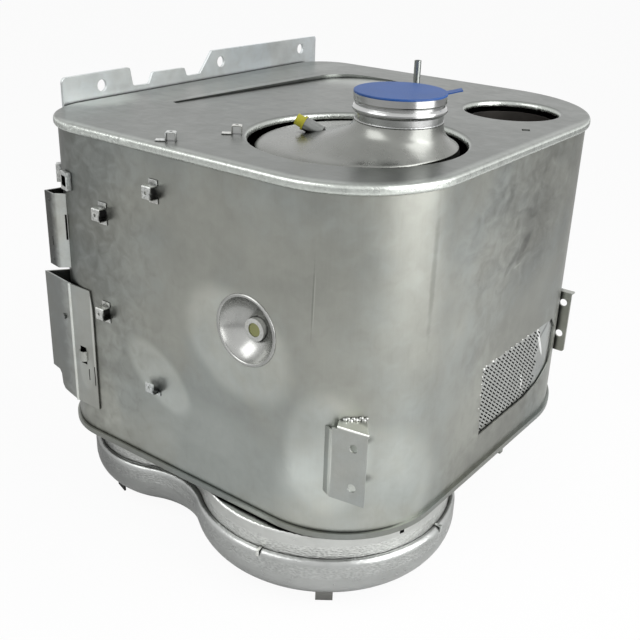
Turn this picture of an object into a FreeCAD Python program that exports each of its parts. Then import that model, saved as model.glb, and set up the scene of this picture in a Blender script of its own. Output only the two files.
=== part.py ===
import FreeCAD
import Part
import math
import os

os.makedirs("parts", exist_ok=True)

# An exhaust emission box of a heavy truck: a tall sheet steel casing with rounded corners that holds
# the catalysts and the particulate filter, an inlet cone in the lid and a transfer pan under the floor.
# X runs along the front wall, Y from the front wall to the back wall, Z up. The pieces are drawn from
# the casing's front left corner and saved about the middle hole of the mounting flange.

# Casing
WIDTH = 650.0
DEPTH = 730.0
HEIGHT = 508.0
FRONT_LEFT_RADIUS = 108.0
FRONT_RIGHT_RADIUS = 159.0
BACK_RIGHT_RADIUS = 202.0
BACK_LEFT_RADIUS = 70.0
SHEET = 2.0
SLIP_GAP = 0.3

# Rolled edges of the lid and of the floor tray
LID_EDGE_OUT = 6.0
LID_EDGE_HEIGHT = 14.0
TRAY_EDGE_OUT = 5.0
TRAY_EDGE_HEIGHT = 11.0

# Inlet in the lid
INLET_X = 0.69 * WIDTH
INLET_Y = 227.0
LID_OPENING_RADIUS = 157.0
PLUNGE = 9.0
FILTER_CAN_RADIUS = 146.0
NECK_X = INLET_X + 63.5
NECK_Y = 233.0
NECK_RADIUS = 61.0
NECK_BEAD_RADIUS = 65.5
NECK_LIP_RADIUS = 64.3
NECK_FOOT_Z = HEIGHT + 35.0
NECK_TOP_Z = HEIGHT + 71.0

# Outlet in the lid
OUTLET_X = WIDTH - 127.0
OUTLET_Y = DEPTH - 170.0
OUTLET_RADIUS = 76.0

# Transfer pan: two round lobes joined by a waist
FRONT_LOBE_X = INLET_X
FRONT_LOBE_Y = 182.0
FRONT_LOBE_RADIUS = 211.0
LEFT_LOBE_X = 147.0
LEFT_LOBE_Y = 159.0
LEFT_LOBE_RADIUS = 150.0
WAIST_RADIUS = 120.0
COLLAR_INSET = 10.0
COLLAR_TOP_Z = -12.0
PAN_TOP_Z = -49.0
PAN_BOTTOM_Z = -130.0
PAN_SHOULDER = 9.0
PAN_BOTTOM_FILLET = 54.0

# Mounting flange on the left wall, and its three holes as (Y, Z)
FLANGE_THICKNESS = 5.0
FLANGE_BACK_X = -LID_EDGE_OUT - SLIP_GAP
FLANGE_HOLE_RADIUS = 9.5
FLANGE_HOLES = ((154.0, HEIGHT + 19.0), (436.0, HEIGHT + 26.0), (DEPTH - 59.0, HEIGHT + 26.0))

# Gas treatment inside: the mixing tube stands on the left lobe, the reduction and slip cans share the
# width with equal gaps and stand midway between what is in front of them and the back wall
RISER_RADIUS = 100.0
REDUCTION_RADIUS = 140.0
SLIP_RADIUS = 128.0
CAN_GAP = (WIDTH - 2 * REDUCTION_RADIUS - 2 * SLIP_RADIUS) / 3
REDUCTION_X = CAN_GAP + REDUCTION_RADIUS
REDUCTION_Y = 0.5 * (LEFT_LOBE_Y + RISER_RADIUS + DEPTH)
SLIP_X = WIDTH - CAN_GAP - SLIP_RADIUS
SLIP_Y = 0.5 * (INLET_Y + FILTER_CAN_RADIUS + DEPTH)
MAT = 8.0
PORT_INSET = SHEET + 2.0


def vec(x, y, z=0.0):
    return FreeCAD.Vector(x, y, z)


UP = vec(0, 0, 1)
FRONT = vec(0, -1, 0)
ORIGIN = vec(FLANGE_BACK_X - FLANGE_THICKNESS, FLANGE_HOLES[1][0], FLANGE_HOLES[1][1])


def save(shape, name):
    """Write one piece, moved so that the middle flange hole's outer mouth is the origin."""
    placed = shape.copy()
    placed.translate(vec(-ORIGIN.x, -ORIGIN.y, -ORIGIN.z))
    placed.exportStep("parts/" + name + ".step")


def arc_edge(cx, cy, radius, start, end, z=0.0):
    """Arc in plan between two angles in degrees, drawn anticlockwise or clockwise as they run."""
    angles = (start, 0.5 * (start + end), end)
    points = [
        vec(cx + radius * math.cos(math.radians(a)), cy + radius * math.sin(math.radians(a)), z)
        for a in angles
    ]
    return Part.Arc(*points).toShape()


def line_edge(a, b):
    return Part.LineSegment(a, b).toShape()


def casing_face(offset, z):
    """The casing's plan: a rectangle whose four corners have their own radii, grown by offset."""
    corners = (
        (WIDTH - FRONT_RIGHT_RADIUS, FRONT_RIGHT_RADIUS, FRONT_RIGHT_RADIUS, -90.0),
        (WIDTH - BACK_RIGHT_RADIUS, DEPTH - BACK_RIGHT_RADIUS, BACK_RIGHT_RADIUS, 0.0),
        (BACK_LEFT_RADIUS, DEPTH - BACK_LEFT_RADIUS, BACK_LEFT_RADIUS, 90.0),
        (FRONT_LEFT_RADIUS, FRONT_LEFT_RADIUS, FRONT_LEFT_RADIUS, 180.0),
    )
    arcs = [arc_edge(cx, cy, r + offset, a, a + 90.0, z) for cx, cy, r, a in corners]
    edges = []
    for index, arc in enumerate(arcs):
        following = arcs[(index + 1) % 4]
        edges.append(arc)
        edges.append(line_edge(arc.Vertexes[-1].Point, following.Vertexes[0].Point))
    return Part.Face(Part.Wire(edges))


def casing_prism(offset, bottom, top):
    return casing_face(offset, bottom).extrude(vec(0, 0, top - bottom))


def bearing(start, end):
    """Heading in degrees, 0 to 360, of one plan point from another."""
    return math.degrees(math.atan2(end.y - start.y, end.x - start.x)) % 360.0


def peanut_face(offset, z):
    """The pan's plan: both lobes and the two hollow waist arcs that touch them, grown by offset."""
    left = vec(LEFT_LOBE_X, LEFT_LOBE_Y)
    front = vec(FRONT_LOBE_X, FRONT_LOBE_Y)
    left_r = LEFT_LOBE_RADIUS + offset
    front_r = FRONT_LOBE_RADIUS + offset
    waist_r = WAIST_RADIUS - offset
    span = front.sub(left)
    reach = span.Length
    foot = ((left_r + waist_r) ** 2 - (front_r + waist_r) ** 2 + reach ** 2) / (2 * reach)
    rise = math.sqrt((left_r + waist_r) ** 2 - foot ** 2)
    along = vec(span.x / reach, span.y / reach)
    near = vec(left.x + along.x * foot + along.y * rise, left.y + along.y * foot - along.x * rise)
    far = vec(left.x + along.x * foot - along.y * rise, left.y + along.y * foot + along.x * rise)
    outline = [
        arc_edge(near.x, near.y, waist_r, bearing(near, left), bearing(near, front), z),
        arc_edge(front.x, front.y, front_r, bearing(front, near) - 360.0, bearing(front, far), z),
        arc_edge(far.x, far.y, waist_r, bearing(far, front), bearing(far, left), z),
        arc_edge(left.x, left.y, left_r, bearing(left, far), bearing(left, near), z),
    ]
    return Part.Face(Part.Wire(Part.__sortEdges__(outline)))


def peanut_prism(offset, bottom, top):
    return peanut_face(offset, bottom).extrude(vec(0, 0, top - bottom))


def rod(x, y, bottom, top, radius):
    return Part.makeCylinder(radius, top - bottom, vec(x, y, bottom))


def tube(x, y, bottom, top, radius, wall):
    return rod(x, y, bottom, top, radius).cut(rod(x, y, bottom - 1, top + 1, radius - wall))


def edges_at(shape, z, tolerance=0.01):
    """The edges of a solid that lie wholly in one level."""
    return [
        edge for edge in shape.Edges
        if abs(edge.BoundBox.ZMin - z) < tolerance and abs(edge.BoundBox.ZMax - z) < tolerance
    ]


def revolve_profile(points, x, y):
    """Turn a closed outline of (radius, height) points round an upright axis."""
    corners = [vec(x + r, y, z) for r, z in points]
    wire = Part.makePolygon(corners + [corners[0]])
    return Part.Face(wire).revolve(vec(x, y), vec(0, 0, 1), 360)


def place(shape, origin, out, up):
    """Set a piece made in the XY plane on a surface: out is the way it faces, up its local Y."""
    side = up.cross(out)
    matrix = FreeCAD.Matrix(
        side.x, up.x, out.x, origin.x, side.y, up.y, out.y, origin.y,
        side.z, up.z, out.z, origin.z, 0, 0, 0, 1,
    )
    placed = shape.copy()
    placed.Placement = FreeCAD.Placement(matrix)
    return placed


def plan_strip(points, thickness, bottom, top):
    """A bent sheet that stands upright on a run of plan points, thickness to the left of the run."""
    centre = [vec(px, py) for px, py in points]
    shifted = []
    for index, point in enumerate(centre):
        normals = []
        if index > 0:
            step = point.sub(centre[index - 1])
            normals.append(vec(-step.y / step.Length, step.x / step.Length))
        if index < len(centre) - 1:
            step = centre[index + 1].sub(point)
            normals.append(vec(-step.y / step.Length, step.x / step.Length))
        mean = normals[0]
        if len(normals) == 2:
            mean = normals[0].add(normals[1])
            mean.multiply(1.0 / (1.0 + normals[0].dot(normals[1])))
        shifted.append(point.add(vec(mean.x * thickness, mean.y * thickness)))
    ring = centre + shifted[::-1]
    ring = [vec(p.x, p.y, bottom) for p in ring]
    return Part.Face(Part.makePolygon(ring + [ring[0]])).extrude(vec(0, 0, top - bottom))


# Casing shell: one wrapped sheet with a round hole for the sensor dish and a window with a hollow corner
DISH_X = WIDTH - 213.0
DISH_Z = 280.0
DISH_RADIUS = 53.0
WINDOW_BACK_Y = DEPTH - 166.0
WINDOW_FRONT_Y = WINDOW_BACK_Y - 266.0
WINDOW_BOTTOM_Z = 56.0
WINDOW_TOP_Z = 177.0

shell = casing_prism(0.0, 0.0, HEIGHT - SHEET).cut(casing_prism(-SHEET, -1.0, HEIGHT))
dish_hole = Part.makeCylinder(DISH_RADIUS - 3.0, 20.0, vec(DISH_X, -10.0, DISH_Z), vec(0, 1, 0))
window_x = WIDTH - 90.0
window_points = [
    vec(window_x, WINDOW_FRONT_Y + 10.0, WINDOW_BOTTOM_Z),
    vec(window_x, WINDOW_BACK_Y - 96.0, WINDOW_BOTTOM_Z + 1.0),
    vec(window_x, WINDOW_BACK_Y - 48.0, WINDOW_BOTTOM_Z + 10.0),
    vec(window_x, WINDOW_BACK_Y - 6.0, WINDOW_BOTTOM_Z + 32.0),
    vec(window_x, WINDOW_BACK_Y, WINDOW_BOTTOM_Z + 48.0),
    vec(window_x, WINDOW_BACK_Y, WINDOW_TOP_Z - 22.0),
    vec(window_x, WINDOW_BACK_Y - 20.0, WINDOW_TOP_Z),
    vec(window_x, WINDOW_FRONT_Y, WINDOW_TOP_Z),
]
window_face = Part.Face(Part.makePolygon(window_points + [window_points[0]]))
shell = shell.cut(dish_hole).cut(window_face.extrude(vec(110.0, 0, 0)))
save(shell, "casing_shell")

# Lid: pressed plate with a rolled edge, a sunken corner panel, the plunged inlet opening, the outlet
# hole and a small square hole
RECESS_DEPTH = 7.0
RECESS_TIP_DEPTH = 2.2
RECESS_TIP = vec(97.0, 210.0, HEIGHT)
RECESS_BACK_Y = DEPTH - 90.0
RECESS_END = vec(234.0, RECESS_BACK_Y, HEIGHT)
RECESS_CORNER = (
    vec(116.0, RECESS_BACK_Y - 65.0, HEIGHT),
    vec(131.0, RECESS_BACK_Y - 22.0, HEIGHT),
    vec(172.0, RECESS_BACK_Y, HEIGHT),
)
LID_HOLE_X = WIDTH - 45.0
LID_HOLE_Y = DEPTH - 286.0
LID_HOLE = 12.0

lid_outer = casing_prism(LID_EDGE_OUT, HEIGHT - LID_EDGE_HEIGHT, HEIGHT)
lid_outer = lid_outer.makeFillet(LID_EDGE_OUT - 0.5, edges_at(lid_outer, HEIGHT))
lid_outer = lid_outer.makeFillet(LID_EDGE_OUT - 1.0, edges_at(lid_outer, HEIGHT - LID_EDGE_HEIGHT))
lid_inner = casing_prism(LID_EDGE_OUT - SHEET, HEIGHT - LID_EDGE_HEIGHT + SHEET, HEIGHT - SHEET)
lid_inner = lid_inner.makeFillet(LID_EDGE_OUT - SHEET - 0.5, edges_at(lid_inner, HEIGHT - SHEET))
lid = lid_outer.cut(lid_inner)
lid = lid.cut(casing_prism(SLIP_GAP, HEIGHT - LID_EDGE_HEIGHT - 1.0, HEIGHT - SHEET - 1.0))

crease = RECESS_END.sub(RECESS_TIP).normalize()
downhill = vec(-crease.y, crease.x)
recess_reach = RECESS_CORNER[1].sub(RECESS_TIP).dot(downhill)
slope = math.atan2(RECESS_DEPTH - RECESS_TIP_DEPTH, recess_reach)
crease_shift = -RECESS_TIP_DEPTH / math.tan(slope)
to_crease = vec(downhill.x * crease_shift, downhill.y * crease_shift)
crease_start = RECESS_TIP.add(to_crease)
crease_end = RECESS_END.add(to_crease)
recess_edges = [
    line_edge(RECESS_TIP, RECESS_CORNER[0]),
    Part.Arc(*RECESS_CORNER).toShape(),
    line_edge(RECESS_CORNER[2], RECESS_END),
    line_edge(RECESS_END, crease_end),
    line_edge(crease_end, crease_start),
    line_edge(crease_start, RECESS_TIP),
]
recess_face = Part.Face(Part.Wire(recess_edges))
recess_up = vec(downhill.x * math.sin(slope), downhill.y * math.sin(slope), math.cos(slope))
recess_down = vec(downhill.x * math.cos(slope), downhill.y * math.cos(slope), -math.sin(slope))


def above_recess(drop):
    """Everything above the sunken panel's floor, lowered by drop."""
    block = Part.makeBox(2 * DEPTH, WIDTH, LID_EDGE_HEIGHT + 20.0, vec(-DEPTH, -20.0, -drop))
    return place(block, crease_start, recess_up, recess_down)


recess_walls = recess_face.makeOffset2D(SHEET).extrude(vec(0, 0, -20.0))
recess_walls = recess_walls.common(above_recess(SHEET))
recess_air = recess_face.extrude(vec(0, 0, 30.0))
recess_air.translate(vec(0, 0, -20.0))
lid = lid.fuse(recess_walls).cut(recess_air.common(above_recess(0.0)))


def plunge_collar(x, y, radius):
    """The turned-down edge of a round opening: flat sheet, bend, then a short wall of the given radius."""
    bend = PLUNGE - 2.0
    inner_bend = bend - SHEET
    middle = math.sqrt(0.5)
    edges = [
        Part.Arc(
            vec(radius + bend, 0, HEIGHT),
            vec(radius + bend * (1 - middle), 0, HEIGHT - bend * (1 - middle)),
            vec(radius, 0, HEIGHT - bend),
        ).toShape(),
        line_edge(vec(radius, 0, HEIGHT - bend), vec(radius, 0, HEIGHT - PLUNGE)),
        line_edge(vec(radius, 0, HEIGHT - PLUNGE), vec(radius + SHEET, 0, HEIGHT - PLUNGE)),
        line_edge(vec(radius + SHEET, 0, HEIGHT - PLUNGE), vec(radius + SHEET, 0, HEIGHT - bend)),
        Part.Arc(
            vec(radius + SHEET, 0, HEIGHT - bend),
            vec(radius + bend - inner_bend * middle, 0, HEIGHT - bend + inner_bend * middle),
            vec(radius + bend, 0, HEIGHT - SHEET),
        ).toShape(),
        line_edge(vec(radius + bend, 0, HEIGHT - SHEET), vec(radius + bend, 0, HEIGHT)),
    ]
    ring = Part.Face(Part.Wire(edges)).revolve(vec(0, 0, 0), UP, 360)
    ring.translate(vec(x, y))
    return ring


for hole_x, hole_y, hole_radius in (
    (INLET_X, INLET_Y, LID_OPENING_RADIUS), (OUTLET_X, OUTLET_Y, OUTLET_RADIUS),
):
    lid = lid.cut(rod(hole_x, hole_y, HEIGHT - 5.0, HEIGHT + 5.0, hole_radius + PLUNGE - 2.0))
    lid = lid.fuse(plunge_collar(hole_x, hole_y, hole_radius))
square = Part.makeBox(LID_HOLE, LID_HOLE, 20.0, vec(-0.5 * LID_HOLE, -0.5 * LID_HOLE, -10.0))
square.rotate(vec(0, 0, 0), UP, 30.0)
square.translate(vec(LID_HOLE_X, LID_HOLE_Y, HEIGHT))
save(lid.cut(square).removeSplitter(), "lid")

# Floor tray: flat floor with a rolled edge, two gas ports and a small tab under the right wall
tray_outer = casing_prism(TRAY_EDGE_OUT, -TRAY_EDGE_HEIGHT, 0.0)
tray_outer = tray_outer.makeFillet(3.0, edges_at(tray_outer, -TRAY_EDGE_HEIGHT))
tray_inner = casing_prism(TRAY_EDGE_OUT - SHEET, -TRAY_EDGE_HEIGHT + SHEET, -SHEET)
tray = tray_outer.cut(tray_inner).cut(casing_prism(-8.0, -TRAY_EDGE_HEIGHT - 1.0, -SHEET - 1.0))
tray = tray.cut(rod(INLET_X, INLET_Y, -20.0, 20.0, FILTER_CAN_RADIUS + SLIP_GAP))
tray = tray.cut(rod(LEFT_LOBE_X, LEFT_LOBE_Y, -20.0, 20.0, RISER_RADIUS + SLIP_GAP))
tray = tray.fuse(Part.makeBox(6.0, 9.0, 12.0, vec(WIDTH - 2.0, DEPTH - 339.0, -17.0)))
save(tray, "floor_tray")

# Pan collar: a peanut shaped plate with a deep skirt, open to both gas ports, a square hole in its skirt
collar = peanut_prism(-COLLAR_INSET, PAN_TOP_Z - 8.0, COLLAR_TOP_Z)
collar = collar.makeFillet(3.0, edges_at(collar, COLLAR_TOP_Z))
collar = collar.cut(peanut_prism(-COLLAR_INSET - SHEET, PAN_TOP_Z - 9.0, COLLAR_TOP_Z - SHEET))
collar = collar.cut(rod(INLET_X, INLET_Y, -40.0, 0.0, FILTER_CAN_RADIUS - PORT_INSET))
collar = collar.cut(rod(LEFT_LOBE_X, LEFT_LOBE_Y, -40.0, 0.0, RISER_RADIUS - PORT_INSET))
collar_radius = FRONT_LOBE_RADIUS - COLLAR_INSET
collar_hole = Part.makeBox(20.0, 8.0, 8.0, vec(collar_radius - 12.0, -4.0, PAN_TOP_Z + 24.0))
collar_hole.rotate(vec(0, 0, 0), UP, -19.3)
collar_hole.translate(vec(FRONT_LOBE_X, FRONT_LOBE_Y))
save(collar.cut(collar_hole), "pan_collar")

# Transfer pan: one deep drawn dish with a rolled shoulder and a wide bottom radius
pan = peanut_prism(0.0, PAN_BOTTOM_Z, PAN_TOP_Z)
pan = pan.makeFillet(PAN_BOTTOM_FILLET, edges_at(pan, PAN_BOTTOM_Z))
pan = pan.makeFillet(PAN_SHOULDER, edges_at(pan, PAN_TOP_Z))
pan_inside = peanut_prism(-SHEET, PAN_BOTTOM_Z + SHEET, PAN_TOP_Z - SHEET)
pan_inside = pan_inside.makeFillet(PAN_BOTTOM_FILLET - SHEET, edges_at(pan_inside, PAN_BOTTOM_Z + SHEET))
pan_inside = pan_inside.makeFillet(PAN_SHOULDER - SHEET, edges_at(pan_inside, PAN_TOP_Z - SHEET))
pan = pan.cut(pan_inside).cut(peanut_prism(-COLLAR_INSET + SLIP_GAP, PAN_TOP_Z - 5.0, PAN_TOP_Z + 5.0))
save(pan, "transfer_pan")

# Mounting flange: a joggled plate along the left wall whose tabs carry the three mounting holes
FLANGE_LAP = 60.0
flange_section = [
    vec(FLANGE_BACK_X, 60.0, HEIGHT + 60.0),
    vec(FLANGE_BACK_X, 60.0, HEIGHT - 24.0),
    vec(0.0, 60.0, HEIGHT - 36.0),
    vec(0.0, 60.0, HEIGHT - 36.0 - FLANGE_LAP),
    vec(-FLANGE_THICKNESS, 60.0, HEIGHT - 36.0 - FLANGE_LAP),
    vec(-FLANGE_THICKNESS, 60.0, HEIGHT - 34.0),
    vec(FLANGE_BACK_X - FLANGE_THICKNESS, 60.0, HEIGHT - 22.0),
    vec(FLANGE_BACK_X - FLANGE_THICKNESS, 60.0, HEIGHT + 60.0),
]
flange = Part.Face(Part.makePolygon(flange_section + [flange_section[0]])).extrude(vec(0, DEPTH, 0))
FLANGE_OUTLINE = (
    (75.0, -12.0), (75.0, 40.0), (215.0, 41.0), (221.0, 10.0), (257.0, 9.0), (266.0, 27.0),
    (342.0, 26.0), (348.0, 11.0), (381.0, 11.0), (412.0, 48.0), (DEPTH - 9.0, 46.0), (DEPTH - 9.0, -12.0),
    (DEPTH - 80.0, -38.0), (DEPTH - 80.0, -108.0), (120.0, -108.0), (120.0, -38.0),
)
flange_keep = [vec(-30.0, y, HEIGHT + z) for y, z in FLANGE_OUTLINE]
flange_keep = Part.Face(Part.makePolygon(flange_keep + [flange_keep[0]])).extrude(vec(40.0, 0, 0))


def tab_corners(radius, start_y, end_y):
    """Round the tabs' upper corners that lie between two distances from the front wall."""
    corners = [
        edge for edge in flange_keep.Edges
        if abs(edge.BoundBox.XLength - 40.0) < 0.5 and edge.BoundBox.ZMin > HEIGHT + 7.0
        and start_y < edge.BoundBox.YMin < end_y
    ]
    return flange_keep.makeFillet(radius, corners)


flange_keep = tab_corners(5.0, 76.0, DEPTH)
flange_keep = tab_corners(8.0, 70.0, 76.0)
flange = flange.common(flange_keep)
for hole_y, hole_z in FLANGE_HOLES:
    bolt_hole = Part.makeCylinder(FLANGE_HOLE_RADIUS, 40.0, vec(-30.0, hole_y, hole_z), vec(1, 0, 0))
    flange = flange.cut(bolt_hole)
save(flange, "mounting_flange")

# Inlet cone: spun sheet, wide at the filter can and drawn off centre to the narrow neck
CONE_FOOT_Z = HEIGHT - 14.0
FILTER_TOP_Z = HEIGHT - 26.0
CONE_STATIONS = (
    (0.0, 1.0, CONE_FOOT_Z), (0.05, 0.95, HEIGHT - 9.0), (0.53, 0.57, HEIGHT - 1.0),
    (0.73, 0.33, HEIGHT + 7.0), (0.89, 0.13, HEIGHT + 17.0), (1.0, 0.0, NECK_FOOT_Z),
)


def cone_loft(inset):
    """The cone's skin: a station has its share of the way to the neck, of the can's extra radius, and Z."""
    wires = []
    for way, width, z in CONE_STATIONS:
        centre = vec(INLET_X + way * (NECK_X - INLET_X), INLET_Y + way * (NECK_Y - INLET_Y), z)
        radius = NECK_RADIUS + width * (FILTER_CAN_RADIUS - NECK_RADIUS) - inset
        wires.append(Part.Wire(Part.Circle(centre, UP, radius).toShape()))
    return Part.makeLoft(wires, True, False)


cone_body = cone_loft(0.0)
cone = cone_body.cut(cone_loft(SHEET))
cone = cone.fuse(tube(INLET_X, INLET_Y, FILTER_TOP_Z, CONE_FOOT_Z, FILTER_CAN_RADIUS, SHEET))
nub = Part.makeSphere(6.0, vec(INLET_X - 25.5, 143.0, HEIGHT - 7.0)).cut(cone_body)
save(cone.fuse(nub), "inlet_cone")

# Inlet neck: short pipe with a clamp bead half way up and a rolled lip on top
neck_inner = NECK_RADIUS - SHEET
neck_profile = [
    (neck_inner, NECK_FOOT_Z), (NECK_RADIUS, NECK_FOOT_Z), (NECK_RADIUS + 0.5, NECK_FOOT_Z + 10.0),
    (NECK_BEAD_RADIUS - 1.0, NECK_FOOT_Z + 12.5), (NECK_BEAD_RADIUS, NECK_FOOT_Z + 14.5),
    (NECK_BEAD_RADIUS, NECK_FOOT_Z + 16.5), (NECK_BEAD_RADIUS - 1.0, NECK_FOOT_Z + 18.5),
    (NECK_RADIUS + 1.0, NECK_FOOT_Z + 21.0), (NECK_RADIUS + 1.0, NECK_TOP_Z - 12.5),
    (NECK_LIP_RADIUS - 1.0, NECK_TOP_Z - 11.0), (NECK_LIP_RADIUS, NECK_TOP_Z - 9.0),
    (NECK_LIP_RADIUS, NECK_TOP_Z), (neck_inner, NECK_TOP_Z),
]
save(revolve_profile(neck_profile, NECK_X, NECK_Y), "inlet_neck")

# Inlet cap: thin moulded cap that closes the neck, with a pull tab
CAP_TAB = 20.0
CAP_TAB_WIDTH = 18.0
CAP_TAB_ROOT = NECK_LIP_RADIUS - 4.0
CAP_TAB_RISE = 14.0
cap = rod(NECK_X, NECK_Y, NECK_TOP_Z, NECK_TOP_Z + 3.0, NECK_LIP_RADIUS)
cap = cap.makeFillet(1.5, edges_at(cap, NECK_TOP_Z + 3.0))
cap_tab = Part.makeBox(CAP_TAB + 4.0, CAP_TAB_WIDTH, 1.6, vec(CAP_TAB_ROOT, -0.5 * CAP_TAB_WIDTH, 0.0))
cap_tab.rotate(vec(CAP_TAB_ROOT, 0), vec(0, 1, 0), -CAP_TAB_RISE)
cap_tab.rotate(vec(0, 0), UP, 36.0)
cap_tab.translate(vec(NECK_X, NECK_Y, NECK_TOP_Z))
cap_plug = tube(NECK_X, NECK_Y, NECK_TOP_Z - 10.0, NECK_TOP_Z + 1.0, neck_inner - SLIP_GAP, 2.0)
save(cap.fuse([cap_tab, cap_plug]), "inlet_cap")

# Sensor fittings in the inlet cone: the boss leans outwards and a flanged plug closes it
SENSOR_FOOT = vec(INLET_X - 65.8, INLET_Y - 17.5, HEIGHT + 4.4)
SENSOR_AXIS = vec(-0.844, -0.346, 0.41).normalize()
SENSOR_BOSS_LENGTH = 14.0
SENSOR_BOSS_RADIUS = 10.0
SENSOR_BORE_RADIUS = 5.0
SENSOR_PLUG_LENGTH = 14.0


def along_sensor(start, end, radius):
    """A round bar on the sensor's axis between two distances from the boss foot."""
    foot = SENSOR_FOOT.add(vec(SENSOR_AXIS.x * start, SENSOR_AXIS.y * start, SENSOR_AXIS.z * start))
    return Part.makeCylinder(radius, end - start, foot, SENSOR_AXIS)


boss = along_sensor(-SENSOR_BOSS_LENGTH, SENSOR_BOSS_LENGTH, SENSOR_BOSS_RADIUS).cut(cone_body)
boss = boss.cut(along_sensor(SENSOR_BOSS_LENGTH - 6.0, SENSOR_BOSS_LENGTH + 1.0, SENSOR_BORE_RADIUS))
save(boss, "inlet_sensor_boss")
plug = along_sensor(SENSOR_BOSS_LENGTH, SENSOR_BOSS_LENGTH + 3.0, SENSOR_BOSS_RADIUS + 0.8)
plug = plug.fuse(along_sensor(SENSOR_BOSS_LENGTH + 3.0, SENSOR_BOSS_LENGTH + SENSOR_PLUG_LENGTH, 8.5))
plug = plug.fuse(along_sensor(SENSOR_BOSS_LENGTH - 5.0, SENSOR_BOSS_LENGTH, SENSOR_BORE_RADIUS - 0.3))
save(plug, "inlet_sensor_plug")

# Pressure pipe: thin upright pipe behind the neck
PIPE_X = INLET_X + 25.5
PIPE_Y = 335.0
pipe = tube(PIPE_X, PIPE_Y, HEIGHT - 9.0, HEIGHT + 98.0, 5.0, 1.5).cut(cone_body)
save(pipe, "pressure_pipe")


# Clips: a strap bent to a square tunnel, with a foot on either side and a small hole in its front
CLIP_WIDTH = 17.0
CLIP_SPAN = 20.0
CLIP_RAISE = 15.0
CLIP_FOOT = 7.0
CLIP_STRAP = 1.5
CLIP_BEND = 2.5
CLIP_HOLE_X = -1.2
CLIP_HOLE_RADIUS = 2.5


def clip(width, span, rise, lower_foot, upper_foot):
    """A clip lying in the XY plane, its tunnel along X and a foot below and above it, if it has them."""
    half = 0.5 * span
    half_width = 0.5 * width
    strap = Part.makeBox(width, span, rise, vec(-half_width, -half, 0.0))
    bends = [
        edge for edge in strap.Edges
        if edge.BoundBox.ZMin > rise - 0.1 and edge.BoundBox.XLength > width - 0.1
    ]
    strap = strap.makeFillet(CLIP_BEND, bends)
    tunnel = (width + 2.0, span - 2 * CLIP_STRAP, rise - CLIP_STRAP + 1.0)
    strap = strap.cut(Part.makeBox(*tunnel, vec(-half_width - 1.0, -half + CLIP_STRAP, -1.0)))
    for length, start in ((lower_foot, -half - lower_foot), (upper_foot, half - CLIP_STRAP)):
        if length > 0.0:
            foot = Part.makeBox(width, length + CLIP_STRAP, CLIP_STRAP, vec(-half_width, start, 0.0))
            strap = strap.fuse(foot)
    return strap.cut(Part.makeCylinder(CLIP_HOLE_RADIUS, rise + 2.0, vec(CLIP_HOLE_X, 0.0, 2.0)))


def open_clip():
    """The lowest clip of the front wall: its upper web is cut away, so it is a hook open at the top."""
    cut_height = CLIP_STRAP + 0.5
    web = Part.makeBox(
        CLIP_WIDTH + 2.0, cut_height + 1.0, CLIP_RAISE + 2.0,
        vec(-0.5 * CLIP_WIDTH - 1.0, 0.5 * CLIP_SPAN - cut_height, -1.0),
    )
    return clip(CLIP_WIDTH, CLIP_SPAN, CLIP_RAISE, CLIP_FOOT, 0.0).cut(web)


front_clips = [
    place(clip(CLIP_WIDTH, CLIP_SPAN, CLIP_RAISE, CLIP_FOOT, CLIP_FOOT), vec(x, 0, z), FRONT, UP)
    for x, z in ((159.5, HEIGHT - 123.5), (268.5, HEIGHT - 67.5), (153.5, 225.0))
]
front_clips.append(place(open_clip(), vec(257.5, 0, 134.5), FRONT, UP))
save(Part.makeCompound(front_clips), "front_clips")

corner_clips = []
for angle, z, width in ((-104.5, 418.0, 20.0), (-134.0, 416.0, 14.0)):
    out = vec(math.cos(math.radians(angle)), math.sin(math.radians(angle)))
    foot = vec(FRONT_LEFT_RADIUS * (1 + out.x), FRONT_LEFT_RADIUS * (1 + out.y), z)
    block = Part.makeBox(width, 28.0, 12.0, vec(-0.5 * width, -14.0, -4.0))
    block = block.cut(Part.makeBox(width - 6.0, 16.0, 20.0, vec(-0.5 * width + 3.0, -8.0, -5.0)))
    corner_clips.append(place(block, foot, out, UP).cut(casing_prism(0.0, z - 30.0, z + 30.0)))
save(Part.makeCompound(corner_clips), "corner_clips")

lid_clips = [
    place(clip(12.0, 15.0, 13.0, 14.0, 0.0), vec(x, y, HEIGHT), UP, vec(0.805, 0.593))
    for x, y in ((279.0, 26.0), (316.0, 119.0))
]
save(Part.makeCompound(lid_clips), "lid_clips")

# Corner brackets: plates bent round the front left corner and open at the top. Each run gives the outer
# face in plan, from the leg that meets the corner, along the left and right faces, to the front wall
BRACKET_SHEET = 3.0
UPPER_BOTTOM_Z = 272.0
UPPER_TOP_Z = 392.0
LOWER_BOTTOM_Z = 42.0
LOWER_TOP_Z = 250.0
DOME_X = 37.5
DOME_RADIUS = 4.0
casing_core = casing_prism(0.0, -20.0, HEIGHT)
upper_run = ((33.0, 32.0), (25.0, 0.5), (50.5, -4.2), (66.6, 10.5))
upper = plan_strip(upper_run, BRACKET_SHEET, UPPER_BOTTOM_Z, UPPER_TOP_Z).cut(casing_core)
upper = upper.cut(Part.makeBox(2.2, 40.0, 41.0, vec(62.0, -20.0, 318.0)))
upper = upper.cut(Part.makeBox(1.4, 12.0, 15.0, vec(39.0, -10.0, 306.5)))
for z in (UPPER_TOP_Z - 13.0, UPPER_BOTTOM_Z + 10.5):
    dome = Part.makeSphere(DOME_RADIUS, vec(DOME_X, 1.0, z))
    upper = upper.fuse(dome.cut(Part.makeBox(20.0, 20.0, 20.0, vec(DOME_X - 10.0, 0.5, z - 10.0))))
save(upper, "upper_corner_bracket")

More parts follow.
